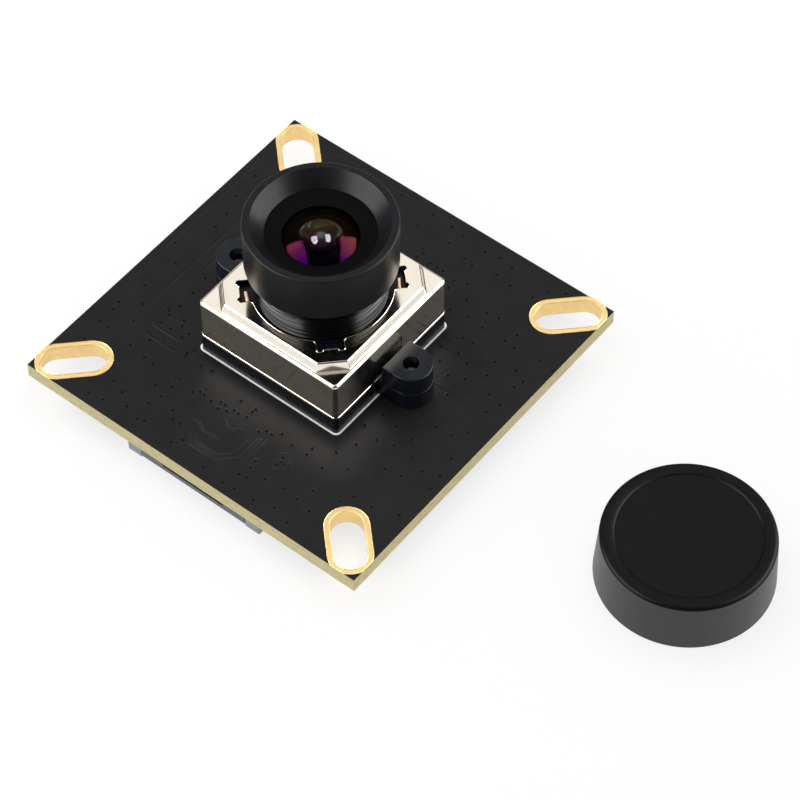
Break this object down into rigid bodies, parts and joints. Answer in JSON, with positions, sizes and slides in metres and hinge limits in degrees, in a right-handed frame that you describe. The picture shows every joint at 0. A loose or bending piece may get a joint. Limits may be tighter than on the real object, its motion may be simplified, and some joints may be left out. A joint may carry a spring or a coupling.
{
  "type": "autofocus camera module",
  "caption": "Square camera board with a screw-in lens on a voice-coil focus actuator, a flat-cable connector below and the lens cap beside it.",
  "frame": {"origin": "centre of the circuit board, on its top face", "axes": "+Z along the lens axis, out of the lens; X and Y along the board's sides, with the flat-cable connector at -Y"},
  "size_m": [0.0666, 0.038, 0.0198],
  "materials": {
    "board_mask": "black solder mask over woven glass board",
    "gold": "gold plating",
    "holder_plastic": "black moulded plastic, smooth",
    "nickel_silver": "bright drawn nickel silver",
    "copper": "bare copper alloy",
    "magnet": "nickel-plated magnet",
    "anodised": "black anodised aluminium, satin",
    "optical_glass": "coated optical glass",
    "filter_glass": "blue-green filter glass",
    "silicon": "polished silicon with colour filters",
    "ceramic": "fired ceramic",
    "connector_plastic": "grey heat-resistant plastic",
    "latch_plastic": "black heat-resistant plastic",
    "tin": "tinned metal",
    "steel": "plated steel",
    "ferrite": "moulded ferrite",
    "chip_epoxy": "black chip epoxy",
    "capacitor_ceramic": "tan capacitor ceramic",
    "cap_plastic": "black moulded plastic"
  },
  "bodies": {
    "board": {"circuit_board": "board_mask", "slot_plating": "gold", "holder_base": "holder_plastic", "module_screws": "steel", "sensor_package": "ceramic", "sensor_die": "silicon", "sensor_window": "optical_glass", "infrared_filter": "filter_glass", "actuator_base": "holder_plastic", "lower_spring": "copper", "upper_spring": "copper", "magnets": "magnet", "spring_spacer": "holder_plastic", "actuator_cover": "nickel_silver", "fpc_housing": "connector_plastic", "fpc_contacts": "gold", "fpc_anchors": "tin", "power_inductors": "ferrite", "voltage_regulators": "chip_epoxy", "regulator_leads": "tin", "focus_driver": "chip_epoxy", "memory_chip": "chip_epoxy", "clock_oscillator": "ceramic", "clock_cover": "steel", "chip_capacitors": "capacitor_ceramic", "chip_resistors": "chip_epoxy", "chip_terminals": "tin", "lens_cap": "cap_plastic"},
    "lens_carriage": {"lens_carrier": "holder_plastic", "focus_coil": "copper", "coil_tabs": "copper", "lens_barrel": "anodised", "retaining_ring": "anodised", "front_element": "optical_glass", "second_element": "optical_glass", "third_element": "optical_glass", "fourth_element": "optical_glass", "rear_element": "optical_glass", "front_spacer": "anodised", "aperture_stop": "anodised", "stop_spacer": "anodised", "middle_spacer": "anodised", "rear_spacer": "anodised"},
    "cable_latch": {"fpc_latch": "latch_plastic"}
  },
  "joints": [
    {"name": "focus_slide", "type": "slide", "parent": "board", "child": "lens_carriage", "axis": [0, 0, 1], "range_m": [0, 0.00035], "stiffness_N_per_m": 110, "springref_m": -0.0006, "deforming": ["upper_spring", "lower_spring"]},
    {"name": "latch_flip", "type": "hinge", "parent": "board", "child": "cable_latch", "pos_m": [0.0001, -0.017, -0.0031], "axis": [1, 0, 0], "range_deg": [0, 90]}
  ]
}
